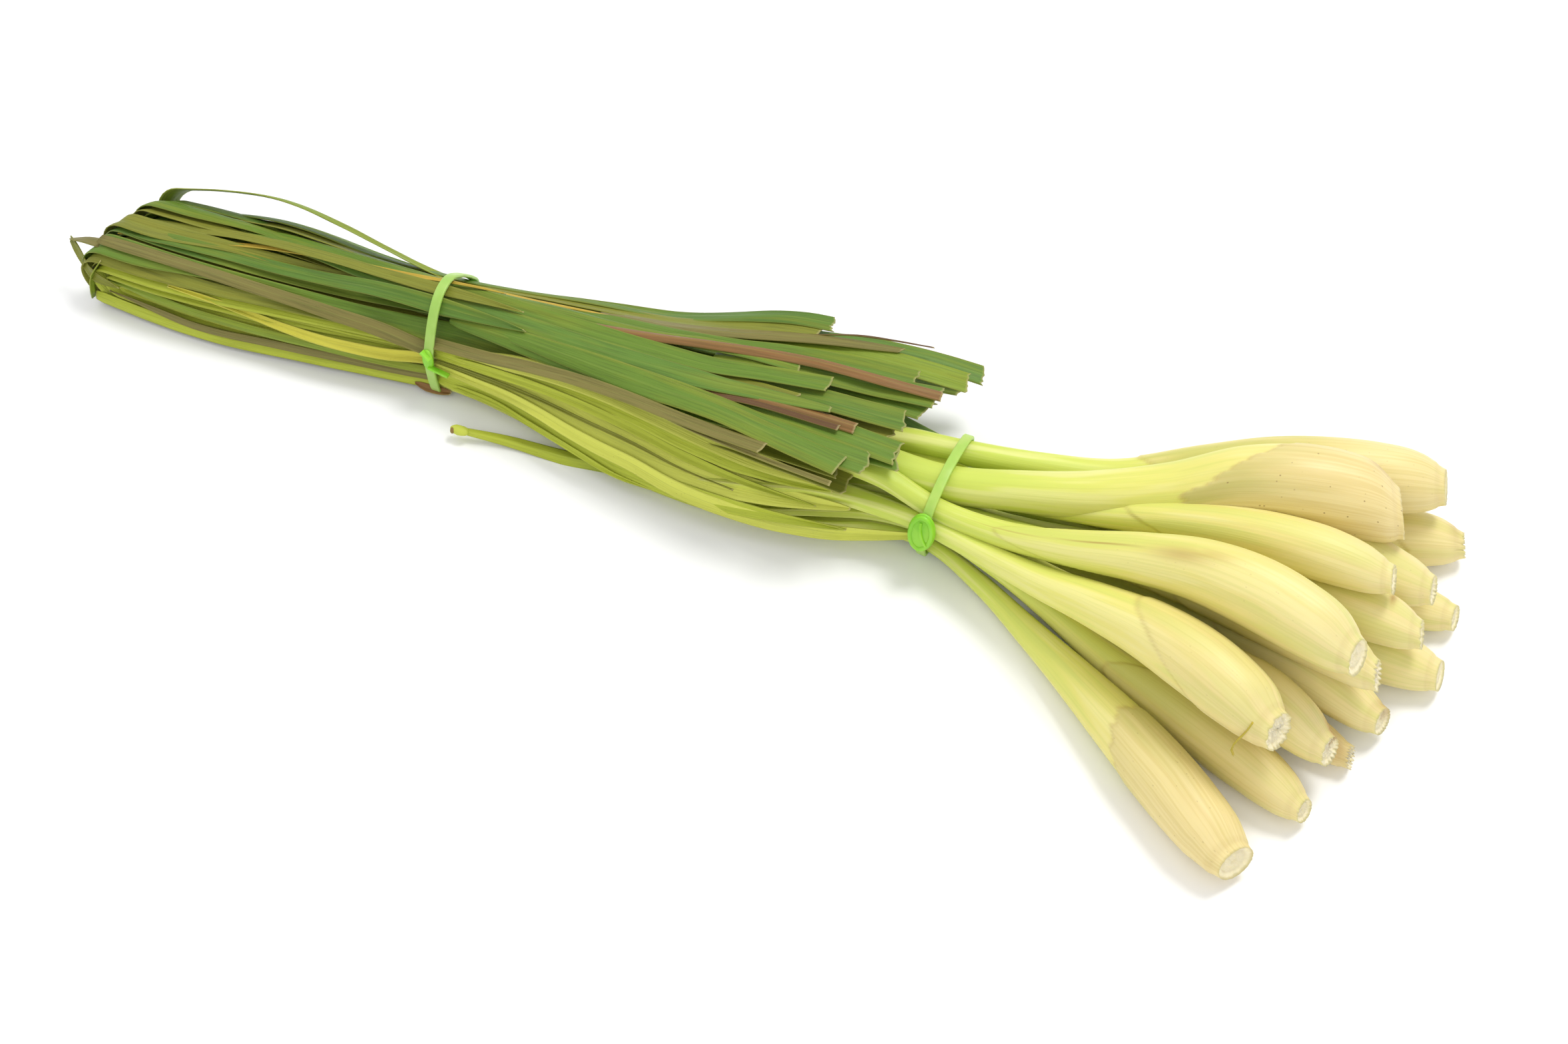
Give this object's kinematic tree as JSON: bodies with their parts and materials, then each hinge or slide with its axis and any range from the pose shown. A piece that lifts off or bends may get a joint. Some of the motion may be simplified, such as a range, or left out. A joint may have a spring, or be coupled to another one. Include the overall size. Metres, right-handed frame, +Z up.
{
  "type": "tied lemongrass bunch",
  "caption": "Fresh lemongrass stalks with pale swollen butts, tied by rubber bands, their green leaves folded back over the bunch.",
  "frame": {"origin": "middle of the footprint, on the table", "axes": "+X along the bunch towards the cut butts, +Y across it to the back, +Z up"},
  "size_m": [0.4414, 0.1414, 0.058],
  "materials": {
    "lemongrass": "fresh plant, waxy satin",
    "rubber": "translucent satin"
  },
  "bodies": {
    "root": {"stalk_01": "lemongrass", "stalk_02": "lemongrass", "stalk_03": "lemongrass", "stalk_04": "lemongrass", "stalk_05": "lemongrass", "stalk_06": "lemongrass", "stalk_07": "lemongrass", "stalk_08": "lemongrass", "stalk_09": "lemongrass", "stalk_10": "lemongrass", "stalk_11": "lemongrass", "stalk_12": "lemongrass", "stalk_13": "lemongrass", "stalk_14": "lemongrass", "stalk_15": "lemongrass", "stalk_16": "lemongrass", "band_neck": "rubber", "band_leaf": "rubber"}
  },
  "joints": []
}
